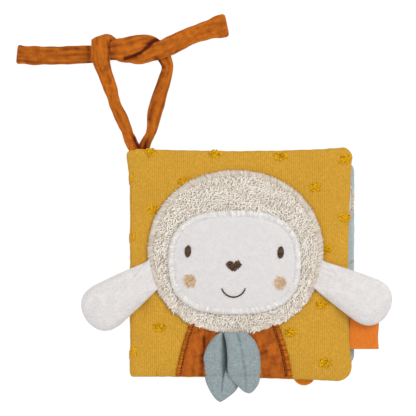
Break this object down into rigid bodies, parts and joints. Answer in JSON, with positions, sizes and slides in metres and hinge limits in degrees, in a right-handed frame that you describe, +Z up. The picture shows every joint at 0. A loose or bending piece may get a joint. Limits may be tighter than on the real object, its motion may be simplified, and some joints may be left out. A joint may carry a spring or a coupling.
{
  "type": "sensory book",
  "caption": "closed padded cloth sensory book with a sheep's head on the cover, stuffed ears, soft leaves, a ribbon loop and knotted cloth ties; opens flat at its spine fold",
  "frame": {"origin": "middle of the closed book's underside, on the surface it lies on", "axes": "X from the spine fold to the fore edge, Y towards the ties, Z up through the front cover"},
  "size_m": [0.2055, 0.212, 0.0372],
  "materials": {
    "cover_jersey": "matte",
    "lining": "matte",
    "page_cloth": "matte",
    "cream_cloth": "matte",
    "orange_muslin": "matte",
    "tuft_yarn": "matte",
    "loop_fleece": "matte",
    "cream_thread": "satin",
    "white_velour": "matte",
    "white_thread": "satin",
    "brown_thread": "satin",
    "peach_thread": "satin",
    "scarf_velour": "matte",
    "ribbon": "satin"
  },
  "bodies": {
    "back_cover": {"back_cover": "cover_jersey", "back_lining": "lining", "pages": "page_cloth", "page_cloud": "cream_cloth", "page_tab": "orange_muslin", "tie_left": "orange_muslin", "tie_right": "orange_muslin"},
    "spine": {"spine": "cover_jersey", "spine_lining": "lining", "spine_tufts": "tuft_yarn"},
    "front_cover": {"front_cover": "cover_jersey", "front_lining": "lining", "cover_tufts": "tuft_yarn", "fleece": "loop_fleece", "fleece_border": "cream_thread", "face": "white_velour", "face_border": "white_thread", "eye_left": "brown_thread", "eye_right": "brown_thread", "nose": "brown_thread", "mouth": "brown_thread", "cheek_left": "peach_thread", "cheek_right": "peach_thread", "ear_left": "white_velour", "ear_right": "white_velour", "shirt": "orange_muslin", "scarf_leaf_left": "scarf_velour", "scarf_leaf_right": "scarf_velour", "label": "ribbon"}
  },
  "joints": [
    {"name": "spine_fold", "type": "hinge", "parent": "back_cover", "child": "spine", "pos_m": [-0.058, 0, 0.004], "axis": [0, -1, 0], "range_deg": [0, 90]},
    {"name": "front_cover_fold", "type": "hinge", "parent": "spine", "child": "front_cover", "pos_m": [-0.058, 0, 0.025], "axis": [0, -1, 0], "range_deg": [0, 90]}
  ]
}
